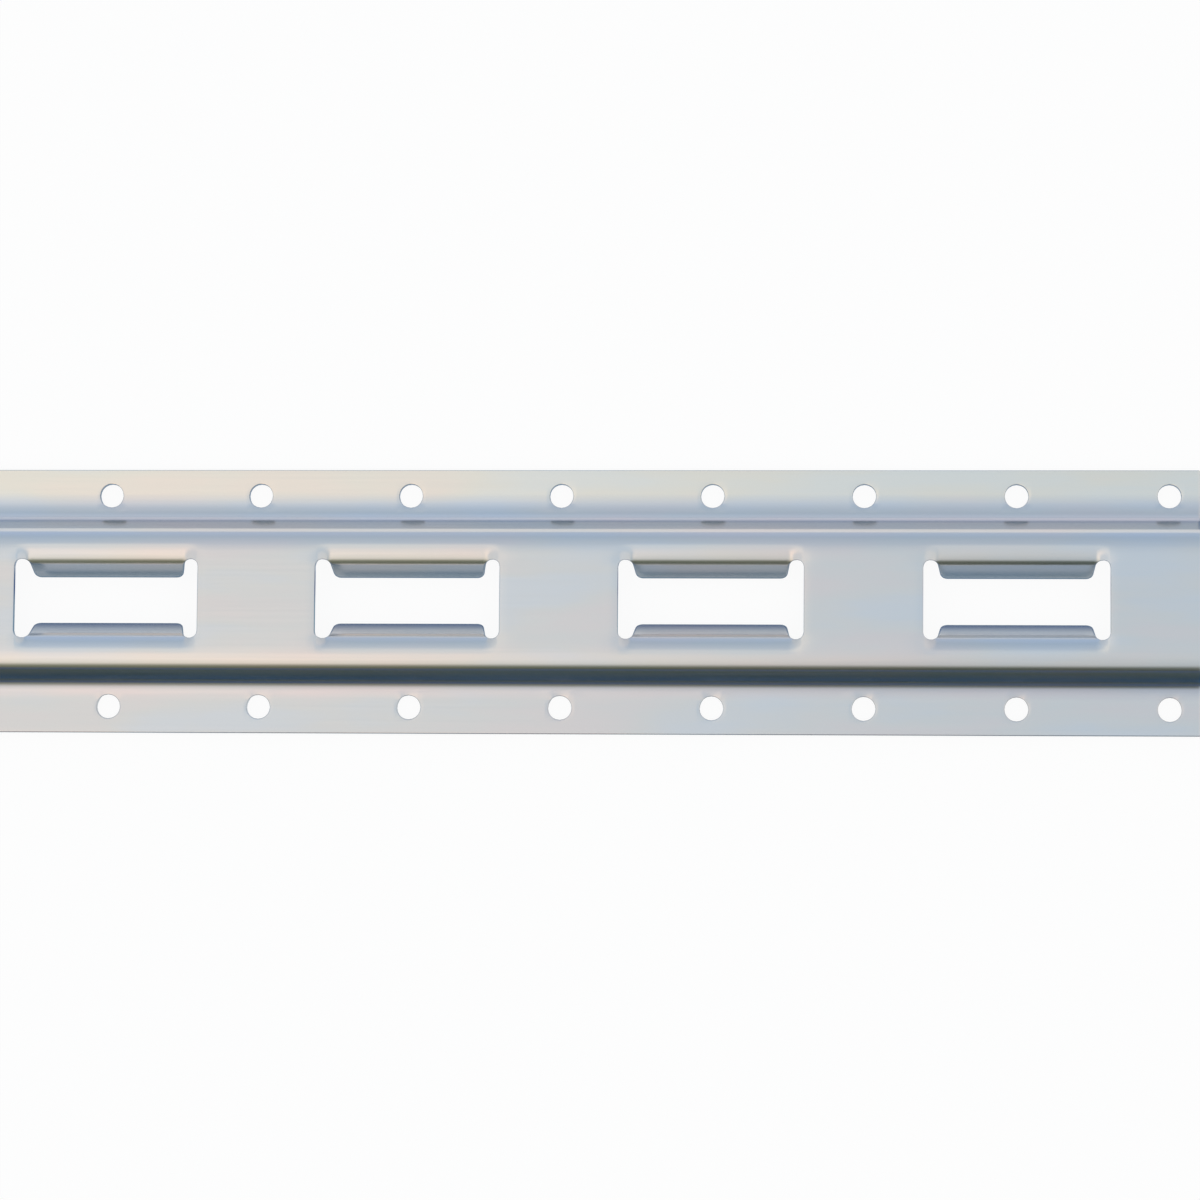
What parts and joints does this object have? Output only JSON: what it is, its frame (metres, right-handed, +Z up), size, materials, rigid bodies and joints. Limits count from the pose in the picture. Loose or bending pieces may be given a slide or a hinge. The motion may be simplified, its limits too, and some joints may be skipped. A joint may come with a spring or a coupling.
{
  "type": "vertical e-track",
  "caption": "Straight hat-section steel rail with a row of long slots between rolled-back lips and a row of screw holes in each flange, for clipping in tie-down fittings.",
  "frame": {"origin": "under the middle of the rail, on the floor that its flanges lie on", "axes": "+X along the rail to the end whose last screw holes lie midway between slots, +Y across it, +Z up out of the crown"},
  "size_m": [1.524, 0.0888, 0.0127],
  "materials": {
    "zinc_steel": "satin clear zinc plate"
  },
  "bodies": {
    "root": {"track": "zinc_steel"}
  },
  "joints": []
}
